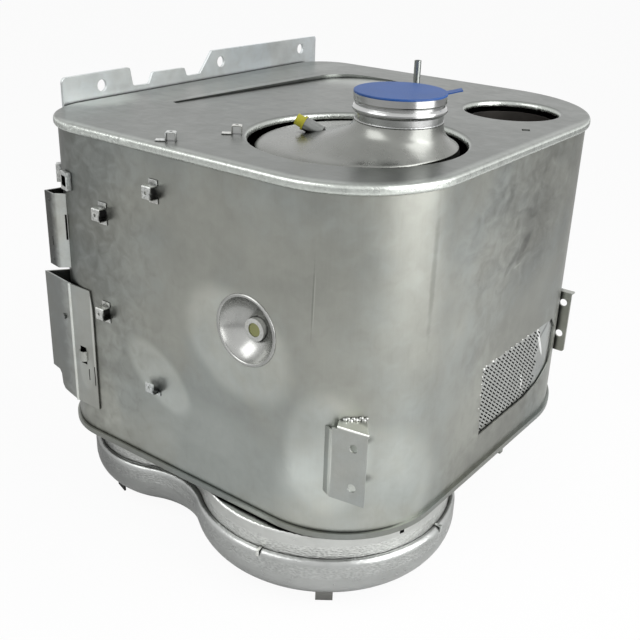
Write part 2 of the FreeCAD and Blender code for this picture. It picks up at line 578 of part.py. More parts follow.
lower_run = ((28.0, 47.0), (-1.5, 7.8), (70.6, -3.0), (122.5, -3.0))
lower = plan_strip(lower_run, BRACKET_SHEET, LOWER_BOTTOM_Z, LOWER_TOP_Z)
lower = lower.fuse(rod(70.6, -2.2, LOWER_BOTTOM_Z, LOWER_TOP_Z, 2.6)).cut(casing_core)
lower_trim = [
    vec(-60.0, -60.0, 30.0), vec(-60.0, -60.0, 88.0), vec(-1.0, -60.0, 80.0), vec(18.0, -60.0, 78.5),
    vec(23.0, -60.0, 72.0), vec(25.0, -60.0, 54.0), vec(31.0, -60.0, 46.5), vec(44.0, -60.0, 44.5),
    vec(70.0, -60.0, LOWER_BOTTOM_Z), vec(70.0, -60.0, 30.0),
]
lower = lower.cut(Part.Face(Part.makePolygon(lower_trim + [lower_trim[0]])).extrude(vec(0, 130.0, 0)))
corner_trim = [
    vec(118.0, -20.0, LOWER_TOP_Z + 1.0), vec(122.6, -20.0, 218.0), vec(130.0, -20.0, 218.0),
    vec(130.0, -20.0, LOWER_TOP_Z + 1.0),
]
lower = lower.cut(Part.Face(Part.makePolygon(corner_trim + [corner_trim[0]])).extrude(vec(0, 40.0, 0)))
BRIDGE_X = 94.0
BRIDGE_RADIUS = 8.5
lower = lower.cut(Part.makeBox(14.0, 20.0, 30.0, vec(BRIDGE_X - 7.0, -10.0, 117.0)))
bridge = tube(BRIDGE_X, -1.5, 123.5, 140.5, BRIDGE_RADIUS, 2.5)
lower = lower.fuse(bridge.common(Part.makeBox(30.0, 20.0, 60.0, vec(80.0, -21.5, 100.0))))
for slit_x, slit_z, slit_height in ((103.5, 90.0, 20.0), (117.0, 84.0, 34.0)):
    lower = lower.cut(Part.makeBox(2.0, 20.0, slit_height, vec(slit_x, -10.0, slit_z)))
save(lower, "lower_corner_bracket")
RIVET_X = 49.3
face_turn = math.atan2(-10.8, 72.1)
rivet_out = vec(math.sin(face_turn), -math.cos(face_turn))
rivet_foot = vec(RIVET_X, 7.8 - 10.8 * (RIVET_X + 1.5) / 72.1, 186.5)
save(Part.makeCylinder(4.5, 3.0, rivet_foot, rivet_out), "bracket_rivet")

# Front bracket: stand-off plate at the front right corner with a leg to the wall and a shelf on top
PLATE_BOTTOM_Z = 69.0
PLATE_TOP_Z = 178.5
LEG_TOP_Z = 173.0
SHELF_TOP_Z = 183.0
plate_left = vec(WIDTH - 71.0, 10.3)
plate_right = vec(WIDTH - 19.2, 18.4)
plate_along = plate_right.sub(plate_left).normalize()
plate_out = vec(plate_along.y, -plate_along.x)
leg_foot = (WIDTH - 88.0, 17.8)
front = plan_strip(
    (leg_foot, (plate_left.x, plate_left.y), (plate_right.x, plate_right.y)),
    BRACKET_SHEET, PLATE_BOTTOM_Z, PLATE_TOP_Z,
)
front = front.cut(Part.makeBox(24.0, 40.0, 20.0, vec(plate_left.x - 24.0, 0.0, LEG_TOP_Z)))
shelf_start = plate_left.add(vec(plate_along.x * 8.0, plate_along.y * 8.0))
shelf_end = plate_right.add(vec(plate_along.x * 2.0, plate_along.y * 2.0))
shelf_points = [shelf_start, shelf_end, vec(WIDTH - 40.0, 47.0), vec(WIDTH - 76.0, 36.0)]
shelf_points = [vec(p.x, p.y, SHELF_TOP_Z - BRACKET_SHEET) for p in shelf_points]
shelf = Part.Face(Part.makePolygon(shelf_points + [shelf_points[0]])).extrude(vec(0, 0, BRACKET_SHEET))
upright_run = ((shelf_start.x, shelf_start.y), (shelf_end.x, shelf_end.y))
upright = plan_strip(upright_run, BRACKET_SHEET, PLATE_TOP_Z - 1.0, SHELF_TOP_Z)
shelf = shelf.fuse(upright).removeSplitter()
front_edge = [
    edge for edge in edges_at(shelf, SHELF_TOP_Z)
    if edge.distToShape(Part.Vertex(vec(shelf_start.x, shelf_start.y, SHELF_TOP_Z)))[0] < 0.1
    and edge.distToShape(Part.Vertex(vec(shelf_end.x, shelf_end.y, SHELF_TOP_Z)))[0] < 0.1
]
shelf = shelf.makeFillet(2.5, front_edge)
front = front.fuse(shelf).cut(casing_core)
for z in (155.8, 94.0):
    start = vec(WIDTH - 38.0 - plate_out.x * 12.0, 15.3 - plate_out.y * 12.0, z)
    front = front.cut(Part.makeCylinder(6.3, 20.0, start, plate_out))
save(front, "front_bracket")

# Rear bracket: plate across the back right corner with two holes and a folded top
REAR_Y = DEPTH - 118.0
REAR_BOTTOM_Z = 89.0
REAR_TOP_Z = 198.0
REAR_HOLE_RADIUS = 6.5
REAR_HOLE_INSET = 13.0
rear_offset = REAR_Y - (DEPTH - BACK_RIGHT_RADIUS)
rear_wall_x = WIDTH - BACK_RIGHT_RADIUS + math.sqrt(BACK_RIGHT_RADIUS ** 2 - rear_offset ** 2)
rear_size = (32.0, BRACKET_SHEET, REAR_TOP_Z - REAR_BOTTOM_Z)
rear = Part.makeBox(*rear_size, vec(rear_wall_x - 11.7, REAR_Y, REAR_BOTTOM_Z))
outer_x = rear.BoundBox.XMax
rear_corner = [
    edge for edge in rear.Edges
    if edge.BoundBox.XMin > outer_x - 0.1 and edge.BoundBox.ZMax < REAR_BOTTOM_Z + 0.1
]
rear = rear.makeFillet(5.0, rear_corner)
rear = rear.fuse(Part.makeBox(32.0, 14.0, BRACKET_SHEET, vec(outer_x - 32.0, REAR_Y, REAR_TOP_Z)))
for z in (181.0, 122.0):
    hole_start = vec(outer_x - REAR_HOLE_INSET, REAR_Y - 10.0, z)
    rear = rear.cut(Part.makeCylinder(REAR_HOLE_RADIUS, 20.0, hole_start, vec(0, 1, 0)))
save(rear.cut(casing_core), "rear_bracket")

# Sensor dish: round bowl pressed into the front wall with a beaded rim, the sensor boss low in its floor
DISH_MOUTH_RADIUS = 47.5
DISH_DEPTH = 30.0
DISH_BEAD = 2.4
bowl_radius = (DISH_MOUTH_RADIUS ** 2 + DISH_DEPTH ** 2) / (2 * DISH_DEPTH)
bowl_centre_y = DISH_DEPTH - bowl_radius


def bowl_arc(radius, mouth_y):
    """Arc of the bowl's section from its mouth to the axis, and the mouth radius at that depth."""
    mouth = math.sqrt(radius ** 2 - (mouth_y - bowl_centre_y) ** 2)
    half_turn = 0.5 * math.atan2(mouth, mouth_y - bowl_centre_y)
    middle = vec(radius * math.sin(half_turn), bowl_centre_y + radius * math.cos(half_turn))
    return Part.Arc(vec(mouth, mouth_y), middle, vec(0, bowl_centre_y + radius)).toShape(), mouth


inner_arc, inner_mouth = bowl_arc(bowl_radius, 0.0)
outer_arc, outer_mouth = bowl_arc(bowl_radius + SHEET, 0.0)
bead_edges = Part.Arc(
    vec(inner_mouth, 0), vec(0.5 * (inner_mouth + DISH_RADIUS), -DISH_BEAD), vec(DISH_RADIUS, 0),
).toShape()
dish_section = [
    inner_arc, bead_edges, line_edge(vec(DISH_RADIUS, 0), vec(outer_mouth, 0)), outer_arc,
    line_edge(vec(0, DISH_DEPTH + SHEET), vec(0, DISH_DEPTH)),
]
dish_face = Part.Face(Part.Wire(Part.__sortEdges__(dish_section)))
dish = dish_face.revolve(vec(0, 0, 0), vec(0, 1, 0), 360)
dish.translate(vec(DISH_X, 0, DISH_Z))
SIDE_BOSS_RADIUS = 17.0
SIDE_BORE_RADIUS = 10.3
SIDE_BOSS_X = DISH_X - 2.5
SIDE_BOSS_Z = DISH_Z - 7.0
SIDE_BOSS_FRONT_Y = 20.0


def into_wall(radius, start_y, end_y):
    """A round bar on the side sensor's axis, from front to back."""
    return Part.makeCylinder(radius, end_y - start_y, vec(SIDE_BOSS_X, start_y, SIDE_BOSS_Z), vec(0, 1, 0))


save(dish.cut(into_wall(SIDE_BOSS_RADIUS + SLIP_GAP, 0.0, 50.0)), "sensor_dish")
side_boss = into_wall(SIDE_BOSS_RADIUS, SIDE_BOSS_FRONT_Y, INLET_Y - FILTER_CAN_RADIUS + 6.0)
side_boss = side_boss.cut(into_wall(SIDE_BORE_RADIUS, SIDE_BOSS_FRONT_Y - 1.0, SIDE_BOSS_FRONT_Y + 18.0))
save(side_boss.cut(rod(INLET_X, INLET_Y, 200.0, 340.0, FILTER_CAN_RADIUS)), "side_sensor_boss")
side_plug = into_wall(SIDE_BORE_RADIUS - SLIP_GAP, SIDE_BOSS_FRONT_Y + 1.5, SIDE_BOSS_FRONT_Y + 14.0)
save(side_plug, "side_sensor_plug")

# Mesh screen: expanded metal behind the window, carried round the back corner
MESH_SETBACK = 1.6
mesh_ring = casing_prism(-SHEET - MESH_SETBACK, WINDOW_BOTTOM_Z - 10.0, WINDOW_TOP_Z + 10.0)
mesh_inside = casing_prism(-SHEET - MESH_SETBACK - 1.5, WINDOW_BOTTOM_Z - 11.0, WINDOW_TOP_Z + 11.0)
mesh_ring = mesh_ring.cut(mesh_inside)
mesh_length = WINDOW_BACK_Y - WINDOW_FRONT_Y + 24.0
mesh_corner = vec(window_x, WINDOW_FRONT_Y - 12.0, WINDOW_BOTTOM_Z - 12.0)
mesh_window = Part.makeBox(120.0, mesh_length, 145.0, mesh_corner)
mesh = mesh_ring.common(mesh_window)
STRAND_LONG = vec(0.0, 12.0, -9.0)
STRAND_SHORT = vec(0.0, 3.2, 4.5)
slot_x = WIDTH - 20.0
slot_half = (
    vec(0, 0.37 * STRAND_LONG.y, 0.37 * STRAND_LONG.z), vec(0, 0.22 * STRAND_SHORT.y, 0.22 * STRAND_SHORT.z),
)
slots = []
for column in range(-5, 24):
    for row in range(-5, 60):
        middle = vec(
            slot_x, WINDOW_FRONT_Y + STRAND_LONG.y * column + STRAND_SHORT.y * row,
            WINDOW_BOTTOM_Z + STRAND_LONG.z * column + STRAND_SHORT.z * row,
        )
        in_length = WINDOW_FRONT_Y + 6.0 < middle.y < WINDOW_BACK_Y - 60.0
        if not in_length or not WINDOW_BOTTOM_Z + 4.0 < middle.z < WINDOW_TOP_Z - 4.0:
            continue
        along, across = slot_half
        slot = [middle.sub(along).sub(across), middle.add(along).sub(across)]
        slot += [middle.add(along).add(across), middle.sub(along).add(across)]
        slots.append(Part.Face(Part.makePolygon(slot + [slot[0]])).extrude(vec(30.0, 0, 0)))
mesh = mesh.cut(slots)
spacers = []
for y in (WINDOW_FRONT_Y - 9.0, WINDOW_BACK_Y + 5.0):
    bar = casing_prism(-SHEET - SLIP_GAP, WINDOW_BOTTOM_Z - 10.0, WINDOW_TOP_Z + 10.0)
    bar = bar.cut(casing_prism(-SHEET - MESH_SETBACK + SLIP_GAP, WINDOW_BOTTOM_Z - 11.0, WINDOW_TOP_Z + 11.0))
    reach = Part.makeBox(120.0, 6.0, 140.0, vec(window_x, y - 3.0, WINDOW_BOTTOM_Z - 12.0))
    spacers.append(bar.common(reach))
save(mesh, "mesh_screen")
save(Part.makeCompound(spacers), "mesh_spacers")

# Pan fixings: retaining clips over the shoulder and small feet under the rim
pan_clips = []
for angle in (-80.6, 3.4):
    block = Part.makeBox(13.0, 5.0, 10.0, vec(collar_radius - 1.0, -2.5, PAN_TOP_Z - 8.0))
    block = block.cut(Part.makeBox(10.8, 7.0, 10.0, vec(collar_radius - 1.0, -3.5, PAN_TOP_Z - 10.0)))
    block.rotate(vec(0, 0, 0), UP, angle)
    block.translate(vec(FRONT_LOBE_X, FRONT_LOBE_Y))
    pan_clips.append(block)
pan_solid = peanut_prism(0.0, PAN_BOTTOM_Z, PAN_TOP_Z)
pan_solid = pan_solid.makeFillet(PAN_BOTTOM_FILLET, edges_at(pan_solid, PAN_BOTTOM_Z))
pan_solid = pan_solid.makeFillet(PAN_SHOULDER, edges_at(pan_solid, PAN_TOP_Z))
collar_solid = peanut_prism(-COLLAR_INSET, PAN_TOP_Z - 8.0, COLLAR_TOP_Z)
pan_clips = [block.cut(pan_solid).cut(collar_solid) for block in pan_clips]
save(Part.makeCompound(pan_clips), "pan_clips")
FOOT_DROP = 10.5
feet = []
for lobe_x, lobe_y, radius, angle in (
    (FRONT_LOBE_X, FRONT_LOBE_Y, 182.0, -52.6), (LEFT_LOBE_X, LEFT_LOBE_Y, 121.0, -108.4),
    (FRONT_LOBE_X, FRONT_LOBE_Y, 182.0, 66.0), (LEFT_LOBE_X, LEFT_LOBE_Y, 121.0, 106.0),
):
    foot = Part.makeBox(3.0, 26.0, FOOT_DROP + 9.0, vec(radius - 3.0, -13.0, PAN_BOTTOM_Z - FOOT_DROP))
    foot.rotate(vec(0, 0, 0), UP, angle)
    foot.translate(vec(lobe_x, lobe_y))
    feet.append(foot.cut(pan_solid))
save(Part.makeCompound(feet), "pan_feet")


# Gas treatment inside: cans, honeycomb blocks in their mats, mixing tube and the two headers
def hull_face(ax, ay, ar, bx, by, br, z):
    """Two circles and their outer tangents."""
    span = vec(bx - ax, by - ay)
    heading = math.degrees(math.atan2(span.y, span.x))
    lean = math.degrees(math.acos((ar - br) / span.Length))
    first = arc_edge(ax, ay, ar, heading + lean, heading + 360.0 - lean, z)
    second = arc_edge(bx, by, br, heading - lean, heading + lean, z)
    edges = [
        first, line_edge(first.Vertexes[-1].Point, second.Vertexes[0].Point),
        second, line_edge(second.Vertexes[-1].Point, first.Vertexes[0].Point),
    ]
    return Part.Face(Part.Wire(edges))


def header(ax, ay, ar, bx, by, br, bottom, top):
    outer = hull_face(ax, ay, ar, bx, by, br, bottom).extrude(vec(0, 0, top - bottom))
    inner = hull_face(ax, ay, ar - SHEET, bx, by, br - SHEET, bottom + SHEET)
    return outer.cut(inner.extrude(vec(0, 0, top - bottom - 2 * SHEET)))


RISER_TOP_Z = HEIGHT - 108.0
HEADER_TOP_Z = HEIGHT - 38.0
LOW_HEADER_Z = 80.0
SLIP_TOP_Z = HEIGHT - 178.0
OUTLET_PIPE_Z = HEIGHT - 88.0
OUTLET_PIPE_TOP_Z = HEIGHT - 16.0
OUTLET_PIPE_RADIUS = OUTLET_RADIUS - 6.0
BLOCK_GAP = 20.0
HEADER_RIM = 6.0
save(tube(INLET_X, INLET_Y, COLLAR_TOP_Z, FILTER_TOP_Z, FILTER_CAN_RADIUS, SHEET), "filter_can")
brick_radius = FILTER_CAN_RADIUS - SHEET - MAT
for name, bottom, top in (
    ("oxidation", FILTER_TOP_Z - 112.0, FILTER_TOP_Z - 22.0), ("particulate", 30.0, FILTER_TOP_Z - 162.0),
):
    save(rod(INLET_X, INLET_Y, bottom, top, brick_radius), name + "_block")
    save(tube(INLET_X, INLET_Y, bottom + 5.0, top - 5.0, FILTER_CAN_RADIUS - SHEET, MAT), name + "_mat")
save(tube(LEFT_LOBE_X, LEFT_LOBE_Y, COLLAR_TOP_Z, RISER_TOP_Z, RISER_RADIUS, SHEET), "mixing_tube")
vanes = tube(LEFT_LOBE_X, LEFT_LOBE_Y, 60.0, 100.0, RISER_RADIUS - SHEET, 2.0)
vanes = vanes.fuse(rod(LEFT_LOBE_X, LEFT_LOBE_Y, 60.0, 100.0, 18.0))
for index in range(8):
    vane = Part.makeBox(RISER_RADIUS - SHEET - 16.0, 2.0, 44.0, vec(15.0, -1.0, -22.0))
    vane.rotate(vec(0, 0, 0), vec(1, 0, 0), 35.0)
    vane.rotate(vec(0, 0, 0), UP, 45.0 * index)
    vane.translate(vec(LEFT_LOBE_X, LEFT_LOBE_Y, 80.0))
    vanes = vanes.fuse(vane.common(rod(LEFT_LOBE_X, LEFT_LOBE_Y, 60.0, 100.0, RISER_RADIUS - SHEET - 1.0)))
save(vanes, "mixer_vanes")


def cut_ports(shape, ports, z):
    """Round gas ports through a header's sheet at one level: each has its centre and its can's radius."""
    for x, y, can_radius in ports:
        shape = shape.cut(rod(x, y, z - 5.0, z + 5.0, can_radius - PORT_INSET))
    return shape


top_header = header(
    LEFT_LOBE_X, LEFT_LOBE_Y, RISER_RADIUS + HEADER_RIM,
    REDUCTION_X, REDUCTION_Y, REDUCTION_RADIUS + HEADER_RIM, RISER_TOP_Z, HEADER_TOP_Z,
)
top_ports = ((LEFT_LOBE_X, LEFT_LOBE_Y, RISER_RADIUS), (REDUCTION_X, REDUCTION_Y, REDUCTION_RADIUS))
top_header = cut_ports(top_header, top_ports, RISER_TOP_Z)
save(top_header, "top_header")
save(tube(REDUCTION_X, REDUCTION_Y, LOW_HEADER_Z, RISER_TOP_Z, REDUCTION_RADIUS, SHEET), "reduction_can")
brick_radius = REDUCTION_RADIUS - SHEET - MAT
block_height = 0.5 * (RISER_TOP_Z - LOW_HEADER_Z - 3 * BLOCK_GAP)
blocks = []
mats = []
for index in range(2):
    z = LOW_HEADER_Z + BLOCK_GAP + index * (block_height + BLOCK_GAP)
    blocks.append(rod(REDUCTION_X, REDUCTION_Y, z, z + block_height, brick_radius))
    mat_top = z + block_height - 5.0
    mats.append(tube(REDUCTION_X, REDUCTION_Y, z + 5.0, mat_top, REDUCTION_RADIUS - SHEET, MAT))
save(Part.makeCompound(blocks), "reduction_blocks")
save(Part.makeCompound(mats), "reduction_mats")

low_header = header(
    REDUCTION_X, REDUCTION_Y, REDUCTION_RADIUS + HEADER_RIM,
    SLIP_X, SLIP_Y, SLIP_RADIUS + HEADER_RIM, 0.0, LOW_HEADER_Z,
)
low_ports = ((REDUCTION_X, REDUCTION_Y, REDUCTION_RADIUS), (SLIP_X, SLIP_Y, SLIP_RADIUS))
save(cut_ports(low_header, low_ports, LOW_HEADER_Z), "low_header")
save(tube(SLIP_X, SLIP_Y, LOW_HEADER_Z, SLIP_TOP_Z, SLIP_RADIUS, SHEET), "slip_can")
brick_radius = SLIP_RADIUS - SHEET - MAT
slip_block_top = SLIP_TOP_Z - 2 * BLOCK_GAP
save(rod(SLIP_X, SLIP_Y, slip_block_top - 140.0, slip_block_top, brick_radius), "slip_block")
save(tube(SLIP_X, SLIP_Y, slip_block_top - 135.0, slip_block_top - 5.0, SLIP_RADIUS - SHEET, MAT), "slip_mat")


def outlet_loft(inset):
    """The cone from the slip can to the outlet pipe, leaning from one axis to the other."""
    foot = Part.Circle(vec(SLIP_X, SLIP_Y, SLIP_TOP_Z), UP, SLIP_RADIUS - inset)
    top = Part.Circle(vec(OUTLET_X, OUTLET_Y, OUTLET_PIPE_Z), UP, OUTLET_PIPE_RADIUS - inset)
    return Part.makeLoft([Part.Wire(foot.toShape()), Part.Wire(top.toShape())], True, True)


outlet = outlet_loft(0.0).cut(outlet_loft(SHEET))
outlet_pipe = tube(OUTLET_X, OUTLET_Y, OUTLET_PIPE_Z, OUTLET_PIPE_TOP_Z, OUTLET_PIPE_RADIUS, SHEET)
save(outlet.fuse(outlet_pipe), "outlet_cone")
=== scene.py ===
from math import cos, pi, radians, sin

import bmesh
import bpy
from mathutils import Matrix, Vector


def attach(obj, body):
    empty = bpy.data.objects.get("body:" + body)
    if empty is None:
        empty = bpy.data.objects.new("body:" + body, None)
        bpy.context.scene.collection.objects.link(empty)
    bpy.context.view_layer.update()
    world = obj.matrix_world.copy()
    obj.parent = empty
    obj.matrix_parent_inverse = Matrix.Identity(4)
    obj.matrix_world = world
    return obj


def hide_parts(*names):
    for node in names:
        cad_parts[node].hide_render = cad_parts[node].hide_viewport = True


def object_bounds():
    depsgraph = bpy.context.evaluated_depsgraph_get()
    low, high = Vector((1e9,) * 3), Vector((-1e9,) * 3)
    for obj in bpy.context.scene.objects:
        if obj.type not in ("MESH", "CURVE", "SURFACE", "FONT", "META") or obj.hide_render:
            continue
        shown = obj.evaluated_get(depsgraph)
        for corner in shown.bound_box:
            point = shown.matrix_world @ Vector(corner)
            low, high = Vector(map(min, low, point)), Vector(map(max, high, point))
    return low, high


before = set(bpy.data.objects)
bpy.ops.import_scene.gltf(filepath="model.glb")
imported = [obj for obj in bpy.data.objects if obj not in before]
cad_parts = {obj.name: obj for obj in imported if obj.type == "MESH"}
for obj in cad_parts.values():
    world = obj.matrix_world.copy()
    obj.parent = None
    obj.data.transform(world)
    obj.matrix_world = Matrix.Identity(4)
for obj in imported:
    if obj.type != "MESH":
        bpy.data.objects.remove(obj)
cad_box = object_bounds()


# Studio. A long lens looks down on the box from its front right, the floor is a plain pale sheet
# and three wide soft lamps stand to the right of the box and before it.
FOOT_CORNER = (11.3, -436.0, -534.0)


def spot(x, y, z):
    """A place in metres from millimetres off the casing's front left foot corner."""
    return Vector([(along + corner) / 1000 for along, corner in zip((x, y, z), FOOT_CORNER)])


PHOTO_PIXELS = 640
FOCAL_PIXELS = 947.4
SENSOR_WIDTH = 36.0
CAMERA_PLACE = (1205.1, -874.9, 825.5)
CAMERA_TURN = 36.36
CAMERA_TILT = 65.62
CAMERA_ROLL = 2.05

lens = bpy.data.cameras.new("camera")
lens.sensor_width = SENSOR_WIDTH
lens.lens = FOCAL_PIXELS / PHOTO_PIXELS * SENSOR_WIDTH
camera = bpy.data.objects.new("camera", lens)
gaze = (Matrix.Rotation(radians(CAMERA_TURN), 4, "Z") @ Matrix.Rotation(radians(CAMERA_TILT), 4, "X")
        @ Matrix.Rotation(radians(CAMERA_ROLL), 4, "Z"))
camera.matrix_world = Matrix.Translation(spot(*CAMERA_PLACE)) @ gaze
bpy.context.collection.objects.link(camera)
bpy.context.scene.camera = camera
bpy.context.scene.view_settings.view_transform = "Standard"


def lamp(name, place, target, width, height, watts):
    """A soft oblong lamp, its place and what it faces in metres."""
    light = bpy.data.lights.new(name, "AREA")
    light.shape = "RECTANGLE"
    light.size = width
    light.size_y = height
    light.energy = watts
    holder = bpy.data.objects.new(name, light)
    aim = (Vector(target) - Vector(place)).to_track_quat("-Z", "Y").to_matrix().to_4x4()
    holder.matrix_world = Matrix.Translation(place) @ aim
    bpy.context.collection.objects.link(holder)


lamp("lamp_right", place=(2.5, 0.0, 0.35), target=(0.62, -0.3, -0.1), width=2.0, height=1.8, watts=33)
lamp("lamp_high_right", place=(2.05, 0.36, 1.6), target=(0.52, -0.2, 0.02), width=1.6, height=1.6, watts=21)
lamp("lamp_high_left", place=(-0.6, -2.1, 1.9), target=(0.1, -0.9, -0.4), width=2.0, height=2.0, watts=28)


class Value:
    """A shader socket that takes part in sums."""

    def __init__(self, finish, socket):
        self.finish = finish
        self.socket = socket

    def _sum(self, operation, first, second):
        return self.finish.node("ShaderNodeMath", {"operation": operation}, {0: first, 1: second})

    def __add__(self, other):
        return self._sum("ADD", self, other)

    def __radd__(self, other):
        return self._sum("ADD", other, self)

    def __sub__(self, other):
        return self._sum("SUBTRACT", self, other)

    def __rsub__(self, other):
        return self._sum("SUBTRACT", other, self)

    def __mul__(self, other):
        return self._sum("MULTIPLY", self, other)

    def __rmul__(self, other):
        return self._sum("MULTIPLY", other, self)


class Finish:
    """The nodes of a material or of the world: node() adds any node, close() ends them."""

    def __init__(self, owner):
        owner.use_nodes = True
        self.owner = owner
        self.tree = owner.node_tree
        self.tree.nodes.clear()

    def node(self, kind, settings=None, inputs=None, output=0):
        node = self.tree.nodes.new(kind)
        for key, setting in (settings or {}).items():
            setattr(node, key, setting)
        for key, value in (inputs or {}).items():
            if isinstance(value, Value):
                self.tree.links.new(value.socket, node.inputs[key])
            else:
                node.inputs[key].default_value = value
        return Value(self, node.outputs[output])

    def close(self, shader, kind="ShaderNodeOutputMaterial"):
        end = self.tree.nodes.new(kind)
        self.tree.links.new(shader.socket, end.inputs["Surface"])

    def place(self):
        """Where the point is, in millimetres off the casing's front left foot corner."""
        where = self.node("ShaderNodeTexCoord", output="Object")
        return self.node("ShaderNodeMapping", None, {
            "Vector": where, "Scale": (1000, 1000, 1000), "Location": [-shift for shift in FOOT_CORNER]})

    def axis(self, place, letter):
        return self.node("ShaderNodeSeparateXYZ", None, {"Vector": place}, letter)

    def noise(self, place, scale, detail, stretch=(1, 1, 1), distortion=0.0):
        """Soft noise from 0 to 1 whose blots are about 1/scale millimetres."""
        drawn = self.node("ShaderNodeMapping", None, {"Vector": place, "Scale": stretch})
        return self.node("ShaderNodeTexNoise", None, {
            "Vector": drawn, "Scale": scale, "Detail": detail, "Distortion": distortion})

    def rise(self, value, low, high, start=0.0, end=1.0):
        """A soft step from start, where the value is at low, to end, where it is at high."""
        return self.node("ShaderNodeMapRange", {"interpolation_type": "SMOOTHSTEP"}, {
            "Value": value, "From Min": low, "From Max": high, "To Min": start, "To Max": end})

    def patch(self, place, middle, reach, turn=(0, 0, 0)):
        """How far a point lies from the middle of an oval patch: 1 on the patch's rim."""
        local = self.node("ShaderNodeMapping", {"vector_type": "TEXTURE"}, {
            "Vector": place, "Location": middle, "Rotation": turn, "Scale": reach})
        return self.node("ShaderNodeVectorMath", {"operation": "LENGTH"}, {0: local}, "Value")

    def painted_corner_shade(self, reach):
        """Painted shade in corners that are less than reach metres wide, from ambient occlusion: dark inside
        them, 1 in the open.
        """
        open_sky = self.node("ShaderNodeAmbientOcclusion", {"samples": 8}, {"Distance": reach}, "AO")
        return self.rise(open_sky, low=0.42, high=0.8, start=0.12, end=1.0)

    def tint(self, colour, brightness):
        return self.node("ShaderNodeVectorMath", {"operation": "SCALE"}, {0: colour, "Scale": brightness})

    def surface(self, colour, roughness, relief, depth, strength=1.0, metallic=1.0):
        """Close the finish with the main shader, its relief raised by depth metres."""
        bump = self.node("ShaderNodeBump", None, {"Height": relief, "Distance": depth, "Strength": strength})
        shader = self.node("ShaderNodeBsdfPrincipled", None, {
            "Base Color": colour, "Roughness": roughness, "Metallic": metallic, "Normal": bump})
        self.close(shader)
        return self.owner


def piece_of(work, name, material):
    """Close a bmesh and put it in the scene as a piece of one material."""
    mesh = bpy.data.meshes.new(name)
    work.to_mesh(mesh)
    work.free()
    mesh.materials.append(material)
    piece = bpy.data.objects.new(name, mesh)
    bpy.context.collection.objects.link(piece)
    return piece


FLOOR_REACH = 16.0
FLOOR_GAP = 0.0005
FLOOR_WHITENESS = 0.94

floor_finish = Finish(bpy.data.materials.new("studio_floor"))
seen_by_camera = floor_finish.node("ShaderNodeLightPath", output="Is Camera Ray")
pale = floor_finish.node("ShaderNodeBsdfDiffuse", None, {"Color": (0.9, 0.9, 0.9, 1)})
white = floor_finish.node("ShaderNodeEmission", None, {"Color": (1, 1, 1, 1), "Strength": 1.0})
floor_finish.close(floor_finish.node("ShaderNodeMixShader", None, {
    0: seen_by_camera * FLOOR_WHITENESS, 1: pale, 2: white}))
sheet = bmesh.new()
bmesh.ops.create_grid(sheet, x_segments=1, y_segments=1, size=FLOOR_REACH,
                      matrix=Matrix.Translation((0, 0, cad_box[0][2] - FLOOR_GAP)))
floor = piece_of(sheet, "floor", floor_finish.owner)

SKY_LIGHT = 0.36

sky = Finish(bpy.data.worlds.new("studio"))
seen = sky.node("ShaderNodeMath", {"operation": "MAXIMUM"}, {
    0: sky.node("ShaderNodeLightPath", output="Is Camera Ray"),
    1: sky.node("ShaderNodeLightPath", output="Is Glossy Ray")})
backdrop = sky.node("ShaderNodeBackground", None, {
    "Color": (1, 1, 1, 1), "Strength": SKY_LIGHT + seen * (1.0 - SKY_LIGHT)})
sky.close(backdrop, "ShaderNodeOutputWorld")
bpy.context.scene.world = sky.owner


# Casing shell. One wrapped sheet of satin stainless steel, seamed at the back. It has a cloudy
# patina, fine upright rolling marks, and pale rubbed halos where clips and brackets were welded on.
# A painted highlight brightens the front right corner's foot; painted shade darkens the left end of
# the front wall, parts of the right wall, its corners, the clips' openings and behind the bracket's holes.
FRONT_Y = 0
RIGHT_X = 650
CORNER_RADIUS = 159
CORNER_X = RIGHT_X - CORNER_RADIUS
CORNER_Y = FRONT_Y + CORNER_RADIUS


def dress(node, material):
    """Give a node of the frame its finish."""
    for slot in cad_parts[node].material_slots:
        slot.material = material


def oval(middle, reach, gain, turn=(0, 0, 0)):
    """An oval of changed colour, darker where its gain is negative: rubbed wear, a scratch or scuff, a
    painted highlight or a painted shade. Millimetres and degrees.
    """
    return middle, reach, [radians(angle) for angle in turn], gain


